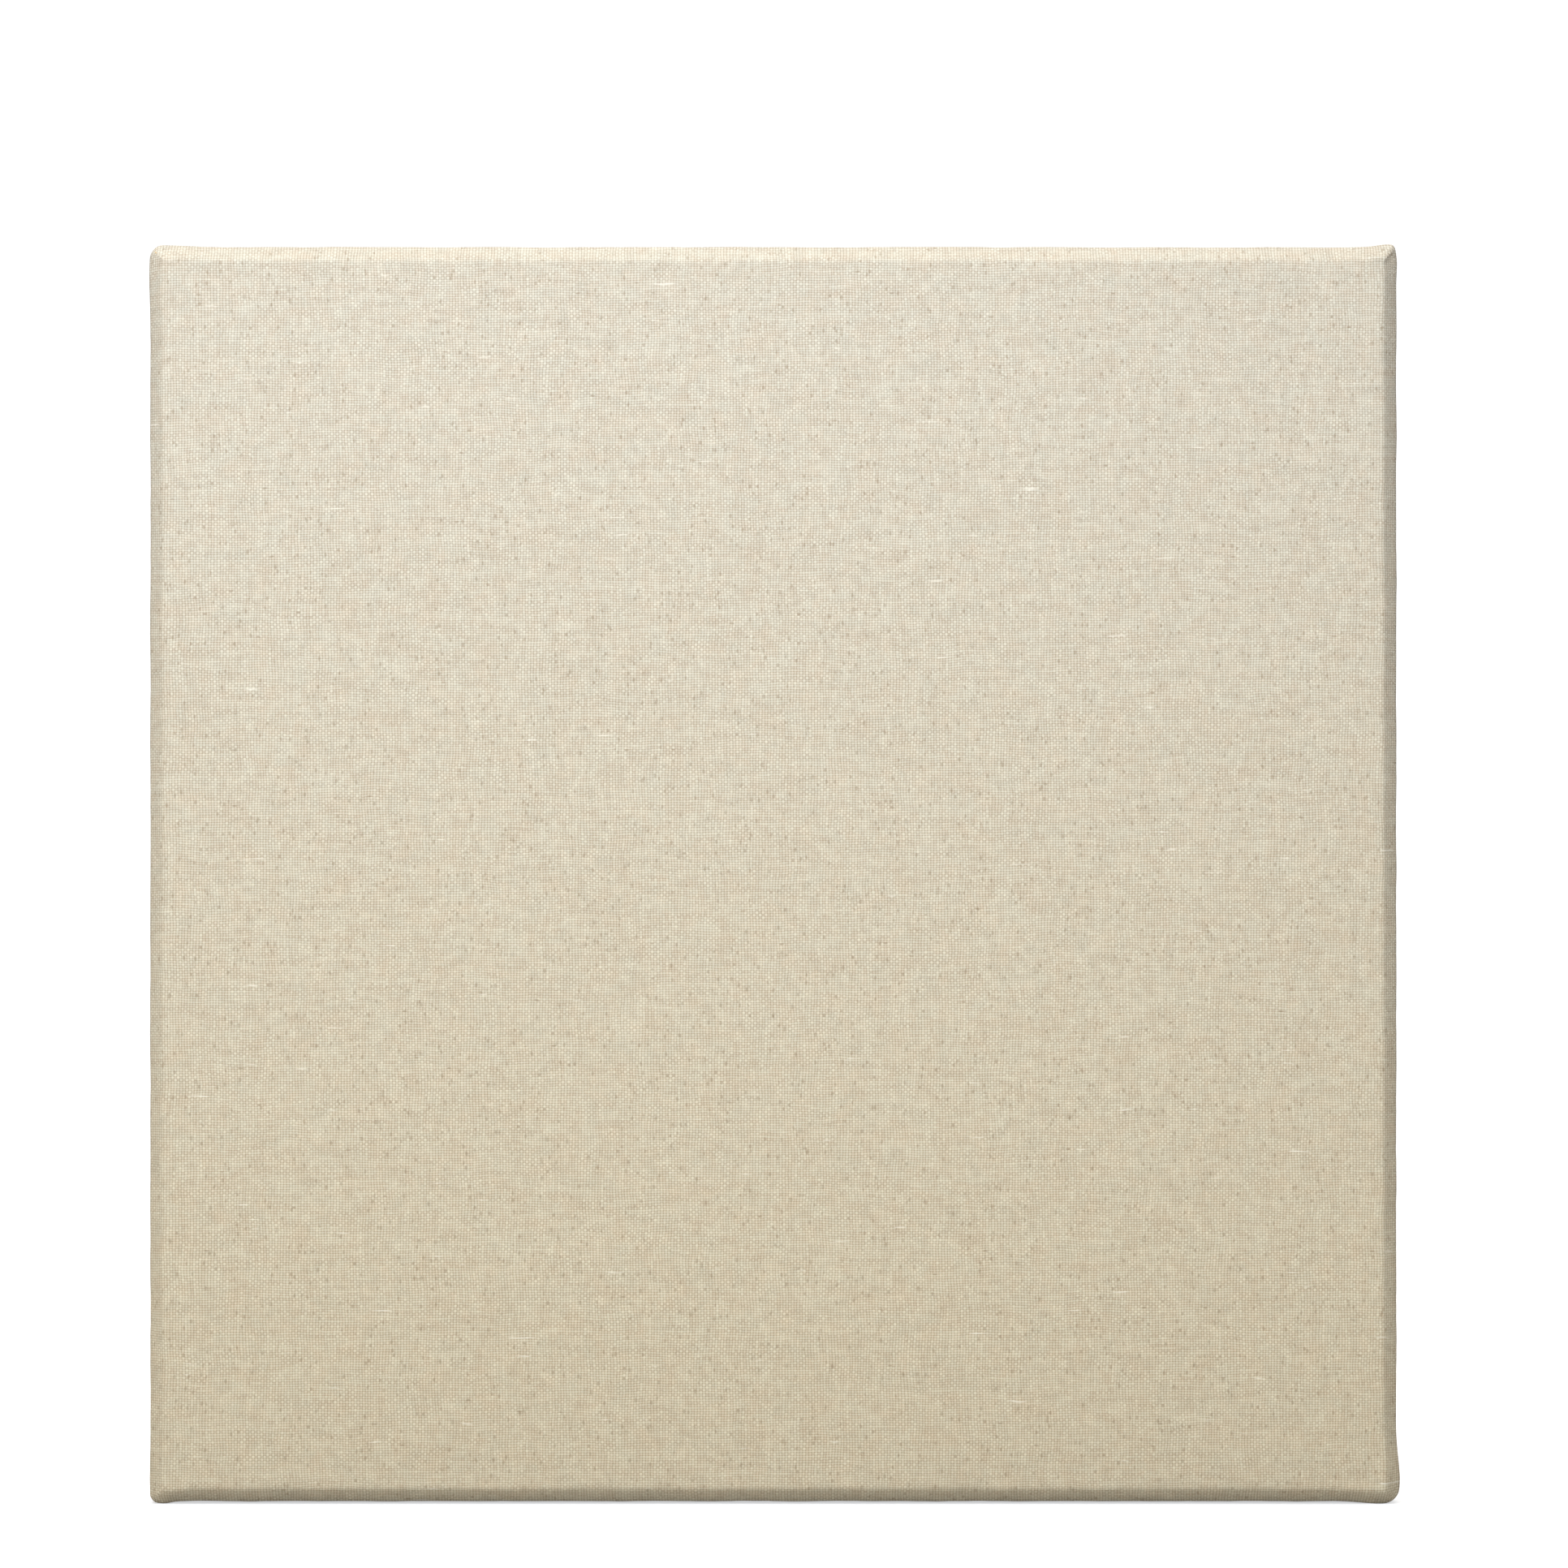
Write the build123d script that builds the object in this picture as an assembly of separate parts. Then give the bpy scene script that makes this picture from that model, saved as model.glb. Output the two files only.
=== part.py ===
from build123d import *
import os
from math import cos, radians, sin

# Stretched canvas: plain-weave linen over a keyed pine stretcher frame, with two D-ring strap
# hangers screwed to the back of its side bars.
# Frame of the part: +Z up, the painting face looks along -Y, +X is to the right of a person who
# looks at that face. The origin is the centre of the bottom edge. All sizes are in millimetres.

# Stretcher frame
FRAME_WIDTH = 302.8  # outside, left to right
FRAME_HEIGHT = 304.8  # outside, bottom to top
BAR_WIDTH = 38.0  # from a bar's outer edge to its inner edge
BAR_DEPTH = 18.0  # front to back
FRONT_CHEEK = 6.5  # mitred layer in front of the two tongue layers
TONGUE = 3.5  # thickness of each tongue layer
TONGUE_FIT = 0.1  # clearance of a tongue against the cheek that it slides under
TONGUE_SHORT = 1.5  # how far a tongue stops inside the neighbour's outer edge
SLOT_FIT = 0.2  # clearance between a tongue's side and the end of its slot
BEAD_RADIUS = 4.0  # rounded outer front edge that carries the cloth
BEAD_FLAT = 1.5  # flat crest beside that rounding
BEAD_RAMP = 3.0  # width of the step down behind the crest
BEAD_RISE = 1.6  # height of that step
FACE_FALL = 3.2  # clearance between the cloth and the bar at the bar's inner edge
BACK_EDGE_RADIUS = 1.5  # outer back edge
INNER_CHAMFER = 1.0  # both inner edges
CORNER_RADIUS = 2.0  # the frame's four outside corners, seen from the front

# Linen, primed and wrapped round to the back
CLOTH = 0.6  # thickness
FLAP_WIDTH = 26.0  # from the outside edge to the cut edge on the back

# Corner keys
KEY_LENGTH = 32.0
KEY_TIP = 5.0  # width at the tip
KEY_HEEL = 12.0  # width at the heel
KEY_ENTRY = 13.0  # how far the tip stands in its slot
KEY_FIT = 0.15  # clearance on each side of a key
KEY_EASE = 1.2  # rounding of its slanted side's corners

# Staples
STAPLE_CROWN = 10.0  # length along the crown
STAPLE_WIRE = 0.6  # thickness of the wire, seen from the side
STAPLE_BAND = 1.2  # width of the wire, seen from the back
STAPLE_LEG = 6.0  # length of a leg below the cloth's surface
STAPLE_BEND = 0.5  # outer bend radius between crown and leg
STAPLE_INSET = 15.0  # from the outside edge to the middle of a crown
STAPLE_PITCH = 45.0
STAPLE_MARGIN = 36.0  # nearest that a crown's middle comes to the end of a side
STAPLE_CORNER = 12.0  # a corner staple's middle, from both outside edges

# D-ring strap hangers
HANGER_INSET = 14.0  # from the outside edge to the screw
HANGER_DROP = 73.5  # from the top edge down to the screw
HANGER_ABOVE_STAPLE = 12.0  # from the screw down to the nearest staple's middle
STRAP_WIDTH = 10.1
STRAP_SHEET = 0.8
STRAP_REACH = 9.4  # from the screw up to the ring's hinge line
STRAP_TAIL = 5.3  # from the screw down to the strap's end
STRAP_TAIL_SAG = 2.4  # height of the arc that closes the tail
STRAP_HOLE = 4.0  # diameter
STRAP_RIM = 0.25  # countersink of the hole
STRAP_GAP = 0.1  # running clearance over the cloth and under the screw head
NOTCH_WIDTH = 5.1  # gap between the two ears
NOTCH_DEPTH = 2.0  # below the hinge line
NOTCH_RADIUS = 0.6
CURL_CLEARANCE = 0.35  # between the ring's wire and the curled ears, which hold it loosely
CURL_SWEEP = 280.0  # degrees that an ear wraps round the wire
RING_WIRE = 1.15  # diameter
RING_FOOT = 7.35  # half width where the sides would meet the hinge line, to the wire's middle
RING_FOOT_RADIUS = 2.0
RING_SHOULDER = 5.3  # half width at the shoulder
RING_SHOULDER_HEIGHT = 11.6
RING_SHOULDER_RADIUS = 5.0
RING_HEIGHT = 18.9  # where the two slanted runs would meet
RING_CROWN_RADIUS = 3.55
RING_TIP_HEIGHT = 4.7
RING_TIP_SPREAD = 0.95  # half the distance between the two wire ends
RING_TIP_FOOT = 2.05  # half the distance between the points where the ends leave the hinge line
RING_TIP_RADIUS = 0.9

# Pan-head wood screws
SCREW_LENGTH = 8.1  # below the head
SCREW_THREAD = 3.5  # outer diameter
SCREW_CORE = 2.4  # diameter between the threads
SCREW_PITCH = 1.27
SCREW_POINT = 2.6  # length of the tapered point
SCREW_FLANGE = 7.0  # diameter
SCREW_FLANGE_SHEET = 0.5
SCREW_HEAD = 5.7  # diameter of the dome above the flange
SCREW_HEAD_HEIGHT = 2.5  # flange included
SCREW_DOME_RADIUS = 1.3
DRIVE_SPAN = 3.6  # across the cross recess
DRIVE_SLOT = 0.95  # width of one of its slots
DRIVE_DEPTH = 1.5
DRIVE_TAPER = 14.0  # degrees
HOLE_FIT = 0.1  # radial clearance of the hole through the cloth

# Worked out from the sizes above
WIDTH = FRAME_WIDTH + 2 * CLOTH
HEIGHT = FRAME_HEIGHT + 2 * CLOTH
MIDDLE = HEIGHT / 2
FRONT = -BAR_DEPTH / 2
BACK = BAR_DEPTH / 2
CLOTH_BACK = BACK + CLOTH
FIRST_TONGUE = (FRONT + FRONT_CHEEK, FRONT + FRONT_CHEEK + TONGUE)
SECOND_TONGUE = (FIRST_TONGUE[1], FIRST_TONGUE[1] + TONGUE)
KEY_SLOPE = (KEY_HEEL - KEY_TIP) / KEY_LENGTH
CURL_INNER = RING_WIRE / 2 + CURL_CLEARANCE
CURL_OUTER = CURL_INNER + STRAP_SHEET
HINGE_STANDOFF = STRAP_GAP + CURL_OUTER  # hinge line above the cloth's back
HEAD_SEAT = STRAP_SHEET + 2 * STRAP_GAP  # underside of a screw head above the cloth's back
OVERCUT = 2.0  # how far a cutter runs past what it cuts


def outline(*corners):
    """A closed flat face from its corners, each one (x, y, rounding radius)."""
    points = [(x, y) for x, y, radius in corners]
    radii = [radius for x, y, radius in corners]
    return make_face(FilletPolyline(*points, radius=radii, close=True))


def upright(face, low_y, high_y):
    """Extrudes a face drawn in X and Z so that it fills the depths from low_y to high_y."""
    plane = Plane(origin=(0, high_y, 0), x_dir=(1, 0, 0), z_dir=(0, -1, 0))
    return extrude(plane * face, amount=high_y - low_y)


def block(low, high):
    """A box from its lowest and highest corners."""
    size = [b - a for a, b in zip(low, high)]
    centre = [(a + b) / 2 for a, b in zip(low, high)]
    return Pos(*centre) * Box(*size)


# Every side of the frame is drawn as the bottom one: X runs along the bar from its middle, Z runs
# from its outer edge to its inner edge. Quarter turns about Y put it in its place.
SIDES = {"bottom": 0, "right": 1, "top": 2, "left": 3}


def side_length(side):
    return FRAME_WIDTH if side in ("bottom", "top") else FRAME_HEIGHT


def side_offset(side):
    return FRAME_HEIGHT / 2 if side in ("bottom", "top") else FRAME_WIDTH / 2


def place(side):
    """Moves a shape drawn for the bottom side to the named side."""
    turn = Rotation(0, -90 * SIDES[side], 0)
    return Pos(0, 0, MIDDLE) * turn * Pos(0, 0, -side_offset(side))


def bar_section():
    """A bar's section in Y and Z: beaded outer front edge and a face that falls away from it."""
    crest = BEAD_RADIUS + BEAD_FLAT
    return outline(
        (FRONT, 0, BEAD_RADIUS),
        (BACK, 0, BACK_EDGE_RADIUS),
        (BACK, BAR_WIDTH - INNER_CHAMFER, 0),
        (BACK - INNER_CHAMFER, BAR_WIDTH, 0),
        (FRONT + FACE_FALL + INNER_CHAMFER, BAR_WIDTH, 0),
        (FRONT + FACE_FALL, BAR_WIDTH - INNER_CHAMFER, 0),
        (FRONT + BEAD_RISE, crest + BEAD_RAMP, 0),
        (FRONT, crest, 0),
    )


def mitre_cut(low_y, high_y):
    """Cutter for a left end whose cheek ends on the 45 degree mitre. Its corner is at X 0, Z 0."""
    reach = BAR_WIDTH + OVERCUT
    face = outline((-OVERCUT, -OVERCUT, 0), (reach, reach, 0), (-OVERCUT, reach, 0))
    return upright(face, low_y, high_y)


def slot_cut(layer):
    """Cutter for a left end's slot: the neighbour's tongue, and beside it the room for a key."""
    tip = BAR_WIDTH - KEY_ENTRY - KEY_FIT
    tip_side = BAR_WIDTH + KEY_TIP + 2 * KEY_FIT
    mouth_side = tip_side + (KEY_ENTRY + OVERCUT) * KEY_SLOPE
    face = outline(
        (-OVERCUT, -OVERCUT, 0),
        (BAR_WIDTH + SLOT_FIT, -OVERCUT, 0),
        (BAR_WIDTH + SLOT_FIT, tip, 0),
        (tip_side, tip, 0),
        (mouth_side, BAR_WIDTH + OVERCUT, 0),
        (-OVERCUT, BAR_WIDTH + OVERCUT, 0),
    )
    return upright(face, *layer)


def end_cuts(tongue, slot):
    """All cutters of a left end that has its tongue in one layer and its slot in the other."""
    shortened = block(
        (-OVERCUT, tongue[0], -OVERCUT), (TONGUE_SHORT, tongue[1], BAR_WIDTH + OVERCUT)
    )
    front_gap = TONGUE_FIT if tongue == FIRST_TONGUE else 0
    back_gap = TONGUE_FIT if tongue == SECOND_TONGUE else 0
    return [
        mitre_cut(FRONT - OVERCUT, FIRST_TONGUE[0] + front_gap),
        mitre_cut(SECOND_TONGUE[1] - back_gap, BACK + OVERCUT),
        slot_cut(slot),
        shortened,
    ]


def stretcher_bar(length):
    """One bar. Both its ends have a tongue and a slot, in opposite layers, so all four bars mate."""
    bar = extrude(Plane.YZ * bar_section(), amount=length / 2, both=True)
    left_end = Pos(-length / 2, 0, 0)
    for cut in end_cuts(FIRST_TONGUE, SECOND_TONGUE):
        bar -= left_end * cut
    for cut in end_cuts(SECOND_TONGUE, FIRST_TONGUE):
        bar -= mirror(left_end * cut, about=Plane.YZ)
    return bar


def wrapped_frame(grown):
    """The frame's outside shape, grown all round by a thickness, with its corners rounded."""
    half_depth = BAR_DEPTH / 2 + grown
    half_width = FRAME_WIDTH / 2 + grown
    half_height = FRAME_HEIGHT / 2 + grown

    def section(half_span):
        bead = BEAD_RADIUS + grown
        back = BACK_EDGE_RADIUS + grown
        return outline(
            (-half_depth, -half_span, bead),
            (half_depth, -half_span, back),
            (half_depth, half_span, back),
            (-half_depth, half_span, bead),
        )

    across = Plane(origin=(0, 0, 0), x_dir=(0, 1, 0), z_dir=(0, 0, -1))
    shape = extrude(Plane.YZ * section(half_height), amount=half_width, both=True)
    shape &= extrude(across * section(half_width), amount=half_height, both=True)
    rounded = RectangleRounded(2 * half_width, 2 * half_height, CORNER_RADIUS + grown)
    shape &= upright(rounded, -half_depth, half_depth)
    return Pos(0, 0, MIDDLE) * shape


def linen():
    """The sheet: front, four wrapped sides and the flaps on the back, which end at a cut edge."""
    sheet = wrapped_frame(CLOTH) - wrapped_frame(0)
    half = WIDTH / 2 - FLAP_WIDTH
    window = block((-half, 0, FLAP_WIDTH), (half, CLOTH_BACK + OVERCUT, HEIGHT - FLAP_WIDTH))
    return sheet - window


def staple():
    """One staple at the origin: crown along X on top of the cloth's back, legs along -Y."""
    half = STAPLE_CROWN / 2
    inner = half - STAPLE_WIRE
    top = CLOTH_BACK + STAPLE_WIRE
    point = CLOTH_BACK - STAPLE_LEG
    face = outline(
        (-half, point, 0),
        (-inner, point + STAPLE_WIRE, 0),
        (-inner, CLOTH_BACK, 0),
        (inner, CLOTH_BACK, 0),
        (inner, point + STAPLE_WIRE, 0),
        (half, point, 0),
        (half, top, STAPLE_BEND),
        (-half, top, STAPLE_BEND),
    )
    return extrude(face, amount=STAPLE_BAND / 2, both=True)


def staple_row(side):
    """Where a side's staples stand along it. On the side bars the row clears the hangers."""
    reach = side_length(side) / 2 - STAPLE_MARGIN
    if side in ("bottom", "top"):
        steps = int((reach - STAPLE_PITCH / 2) / STAPLE_PITCH)
        start = STAPLE_PITCH / 2 + steps * STAPLE_PITCH
    else:
        beside_hanger = MIDDLE - HANGER_DROP - HANGER_ABOVE_STAPLE
        start = beside_hanger + int((reach - beside_hanger) / STAPLE_PITCH) * STAPLE_PITCH
    count = int((start + reach) / STAPLE_PITCH) + 1
    flip = -1 if side == "left" else 1
    return [flip * (start - i * STAPLE_PITCH) for i in range(count)]


def staples(side):
    """A side's staples. The top and bottom ones include those that pin the folded corners."""
    depth = STAPLE_INSET - CLOTH
    group = [place(side) * Pos(x, 0, depth) * staple() for x in staple_row(side)]
    if side in ("bottom", "top"):
        inset = STAPLE_CORNER - CLOTH
        for hand in (-1, 1):
            spot = Pos(hand * (side_length(side) / 2 - inset), 0, inset)
            group.append(place(side) * spot * Rotation(0, -hand * 45, 0) * staple())
    return group


def key(side, hand):
    """A wedge in the slot at a bar's end. Its straight side lies along the neighbour's inner edge."""
    tip = BAR_WIDTH - KEY_ENTRY
    straight = BAR_WIDTH + KEY_FIT
    face = outline(
        (straight, tip, 0),
        (straight + KEY_TIP, tip, KEY_EASE),
        (straight + KEY_HEEL, tip + KEY_LENGTH, KEY_EASE),
        (straight, tip + KEY_LENGTH, 0),
    )
    layer = SECOND_TONGUE if hand < 0 else FIRST_TONGUE
    wedge = upright(face, layer[0] + KEY_FIT, layer[1] - KEY_FIT)
    wedge = Pos(-side_length(side) / 2, 0, 0) * wedge
    if hand > 0:
        wedge = mirror(wedge, about=Plane.YZ)
    return place(side) * wedge


def hanger_plane(hand):
    """A hanger's own frame: origin at its screw on the cloth, Y up, Z out of the back."""
    origin = (hand * (WIDTH / 2 - HANGER_INSET), CLOTH_BACK, HEIGHT - HANGER_DROP)
    return Plane(origin=origin, x_dir=(-1, 0, 0), z_dir=(0, 1, 0))


def strap():
    """Sheet-metal strap in a hanger's frame, with two ears curled over the ring's wire."""
    start = radians(-90)
    end = start + radians(CURL_SWEEP)
    centre = (0, CURL_OUTER)

    def on_curl(radius, angle):
        return (centre[0] + radius * cos(angle), centre[1] + radius * sin(angle))

    half_way = (start + end) / 2
    tail = -STRAP_REACH - STRAP_TAIL - OVERCUT
    curl = make_face(
        Line((tail, 0), (0, 0))
        + ThreePointArc((0, 0), on_curl(CURL_OUTER, half_way), on_curl(CURL_OUTER, end))
        + Line(on_curl(CURL_OUTER, end), on_curl(CURL_INNER, end))
        + ThreePointArc(
            on_curl(CURL_INNER, end), on_curl(CURL_INNER, half_way), (0, STRAP_SHEET)
        )
        + Line((0, STRAP_SHEET), (tail, STRAP_SHEET))
        + Line((tail, STRAP_SHEET), (tail, 0))
    )
    side_view = Plane(origin=(0, STRAP_REACH, STRAP_GAP), x_dir=(0, 1, 0), z_dir=(1, 0, 0))
    bent = extrude(side_view * curl, amount=STRAP_WIDTH / 2, both=True)

    half = STRAP_WIDTH / 2
    shoulder = -STRAP_TAIL + STRAP_TAIL_SAG
    top = STRAP_REACH + CURL_OUTER + OVERCUT
    plan = make_face(
        Line((-half, top), (-half, shoulder))
        + ThreePointArc((-half, shoulder), (0, -STRAP_TAIL), (half, shoulder))
        + Line((half, shoulder), (half, top))
        + Line((half, top), (-half, top))
    )
    shape = bent & extrude(plan, amount=HINGE_STANDOFF + CURL_OUTER + OVERCUT)
    notch = outline(
        (-NOTCH_WIDTH / 2, STRAP_REACH - NOTCH_DEPTH, NOTCH_RADIUS),
        (NOTCH_WIDTH / 2, STRAP_REACH - NOTCH_DEPTH, NOTCH_RADIUS),
        (NOTCH_WIDTH / 2, top, 0),
        (-NOTCH_WIDTH / 2, top, 0),
    )
    shape -= extrude(notch, amount=top)
    shape -= Cylinder(STRAP_HOLE / 2, top)
    rim = Cone(STRAP_HOLE / 2, STRAP_HOLE / 2 + STRAP_RIM, STRAP_RIM)
    return shape - Pos(0, 0, STRAP_GAP + STRAP_SHEET - STRAP_RIM / 2) * rim


def ring():
    """Wire ring in a hanger's frame: a pointed arch whose two ends turn up between the ears."""
    half = [
        (RING_TIP_SPREAD, RING_TIP_HEIGHT),
        (RING_TIP_FOOT, 0),
        (RING_FOOT, 0),
        (RING_SHOULDER, RING_SHOULDER_HEIGHT),
    ]
    points = half + [(0, RING_HEIGHT)] + [(-x, y) for x, y in reversed(half)]
    bends = [RING_TIP_RADIUS, RING_FOOT_RADIUS, RING_SHOULDER_RADIUS]
    radii = bends + [RING_CROWN_RADIUS] + bends[::-1]
    path = Plane(origin=(0, STRAP_REACH, HINGE_STANDOFF)) * FilletPolyline(*points, radius=radii)
    start = path @ 0
    section = Plane(origin=start, z_dir=path % 0) * Circle(RING_WIRE / 2)
    return sweep(section, path=path)


def screw():
    """Screw in a hanger's frame: flanged pan head with a cross recess, thread along -Z."""
    core = SCREW_CORE / 2
    crest = SCREW_THREAD / 2
    turns = int((SCREW_LENGTH - SCREW_POINT) / SCREW_PITCH)
    thread_start = SCREW_LENGTH - SCREW_POINT - turns * SCREW_PITCH
    points = [(0, SCREW_HEAD_HEIGHT), (SCREW_HEAD / 2, SCREW_HEAD_HEIGHT)]
    points += [(SCREW_HEAD / 2, SCREW_FLANGE_SHEET), (SCREW_FLANGE / 2, SCREW_FLANGE_SHEET)]
    points += [(SCREW_FLANGE / 2, 0), (core, 0)]
    dome = [0, SCREW_DOME_RADIUS] + [0] * 4
    for turn in range(turns):
        top = -thread_start - turn * SCREW_PITCH
        points += [(core, top), (crest, top - SCREW_PITCH / 2)]
    points += [(core, -SCREW_LENGTH + SCREW_POINT), (0, -SCREW_LENGTH)]
    radii = dome + [0] * (len(points) - len(dome))
    body = revolve(Plane.XZ * outline(*[(x, z, r) for (x, z), r in zip(points, radii)]))
    top = Plane(origin=(0, 0, SCREW_HEAD_HEIGHT))
    cross = Rectangle(DRIVE_SPAN, DRIVE_SLOT) + Rectangle(DRIVE_SLOT, DRIVE_SPAN)
    body -= extrude(top * cross, amount=-DRIVE_DEPTH, taper=DRIVE_TAPER)
    return Pos(0, 0, HEAD_SEAT) * body


def build():
    """Every node of the object by name."""
    nodes = {}
    screws = {}
    for name, hand in (("left", -1), ("right", 1)):
        plane = hanger_plane(hand)
        nodes["strap_" + name] = plane * strap()
        nodes["ring_" + name] = plane * ring()
        screws[name] = plane * screw()
        nodes["screw_" + name] = screws[name]

    pins = []
    for side in SIDES:
        group = staples(side)
        pins += group
        nodes["staples_" + side] = Compound(children=group)

    sheet = linen() - pins
    for hand in (-1, 1):
        hole = Cylinder(SCREW_THREAD / 2 + HOLE_FIT, 4 * CLOTH)
        sheet -= hanger_plane(hand) * hole
    nodes["canvas"] = sheet

    corners = wrapped_frame(0)
    for side in SIDES:
        bar = place(side) * stretcher_bar(side_length(side)) & corners
        bar -= pins
        if side in screws:
            bar -= screws[side]
        nodes["stretcher_" + side] = bar

    ends = {"bottom": ("left", "right"), "right": ("bottom", "top")}
    ends.update({"top": ("right", "left"), "left": ("top", "bottom")})
    for side in SIDES:
        for end, hand in zip(ends[side], (-1, 1)):
            nodes[f"key_{side}_bar_{end}"] = key(side, hand)
    return nodes


os.makedirs("parts", exist_ok=True)
for node, shape in build().items():
    export_step(shape, f"parts/{node}.step")
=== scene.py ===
from math import cos, exp, pi, radians, sin, tan, tau

import bpy
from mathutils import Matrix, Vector, noise


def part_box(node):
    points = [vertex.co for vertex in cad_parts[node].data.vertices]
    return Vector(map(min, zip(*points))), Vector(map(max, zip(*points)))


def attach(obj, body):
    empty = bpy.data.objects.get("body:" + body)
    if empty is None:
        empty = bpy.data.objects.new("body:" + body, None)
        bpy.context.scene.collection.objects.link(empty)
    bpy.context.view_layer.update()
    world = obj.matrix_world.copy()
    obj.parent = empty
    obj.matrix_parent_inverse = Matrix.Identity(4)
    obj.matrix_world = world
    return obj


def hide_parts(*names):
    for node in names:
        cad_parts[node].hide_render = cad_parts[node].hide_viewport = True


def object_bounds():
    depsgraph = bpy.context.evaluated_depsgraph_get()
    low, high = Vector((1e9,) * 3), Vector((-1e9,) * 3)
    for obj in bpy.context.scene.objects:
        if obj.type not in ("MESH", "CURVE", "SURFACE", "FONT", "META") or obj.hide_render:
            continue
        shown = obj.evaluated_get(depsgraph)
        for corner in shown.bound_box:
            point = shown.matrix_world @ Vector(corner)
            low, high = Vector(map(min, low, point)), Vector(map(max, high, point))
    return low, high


# Stretched canvas: the linen, its cut edge and all materials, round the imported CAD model.
# Everything is in metres in the model's own frame: +Z up, the painting face looks along -Y.

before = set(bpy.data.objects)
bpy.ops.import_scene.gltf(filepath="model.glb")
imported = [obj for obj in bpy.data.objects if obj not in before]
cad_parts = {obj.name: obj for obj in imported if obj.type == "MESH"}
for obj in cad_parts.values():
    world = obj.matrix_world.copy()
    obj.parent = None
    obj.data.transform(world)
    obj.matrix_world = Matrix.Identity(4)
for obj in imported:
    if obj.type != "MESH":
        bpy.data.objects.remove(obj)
cad_low, cad_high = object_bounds()
MM = 0.001

# Photograph's view
VIEW_WIDTH = 382.0 * MM  # what the picture takes in, at the painting face
VIEW_ASIDE = 2.6 * MM  # the camera stands this far to the right of the middle
VIEW_HEIGHT = 175.0 * MM
VIEW_DISTANCE = 2.5
SENSOR = 36.0
FLOOR_LEVEL = -0.6 * MM  # the canvas stands on its swollen bottom corners

# Cloth
THICKNESS = 0.58 * MM
FACET = 3.3 * MM  # width of the slanted front edge, on the face and on the side
FACET_EASE = 1.8 * MM  # radius where it runs into them
BACK_ROLL = 2.1 * MM
FLAP = 26.0 * MM  # from the outside edge to the cut edge on the back
RIM_START = 8.0 * MM  # the flat face begins this far inside the outside edge
FIELD_START = 10.0 * MM  # and its coarse grid begins here
FACE_WAVE = 0.05 * MM  # how far the stretched face waves in and out
COLUMNS = 256  # mesh columns along each side
COLUMNS_PER_CELL = 4  # of them to one cell of the coarse grid
CORNER_RADII = {"bottom": 3.2, "right": 1.9, "top": 2.6, "left": 2.0}  # mm, at each side's end
WARP_PITCH = 0.71 * MM  # threads that run up the face
WEFT_PITCH = 0.60 * MM  # threads that run across it
CRIMP = 0.44  # how far a thread dips under the next one, as a share of the weave's height
WARP_WANDER = 1.4 * MM  # how far the noise may push them sideways
WEFT_WANDER = 1.3 * MM

# Where the folded corners stand proud. The place is measured round the corner at the named
# side's end, in mm: below 0 on that side, above 0 on the next one. The two widths say how
# quickly the swelling fades before and after that place.
EARS = {
    "bottom": [(-4.0, 0.55, 6.0, 5.0), (5.0, 0.80, 5.0, 8.0)],
    "right": [(0.9, 0.80, 1.1, 4.6), (-3.5, 0.18, 3.0, 1.5)],
    "top": [(-2.5, 0.50, 9.0, 2.0), (4.0, 0.28, 3.0, 12.0)],
    "left": [(3.0, 0.50, 3.4, 2.4), (-5.0, 0.15, 6.0, 3.0)],
}
SIDES = ("bottom", "right", "top", "left")  # anticlockwise as seen from the front


# ---------------------------------------------------------------- small helpers


def smooth(low, high, value):
    """0 below low, 1 above high and an S-shaped rise between."""
    x = min(max((value - low) / (high - low), 0.0), 1.0)
    return x * x * (3.0 - 2.0 * x)


def bell(distance, width):
    return exp(-((distance / width) ** 2))


def linear(*channels):
    """An 8-bit screen colour as the shader's linear RGBA."""
    return [(c / 255.0) ** 2.2 for c in channels] + [1.0]


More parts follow.
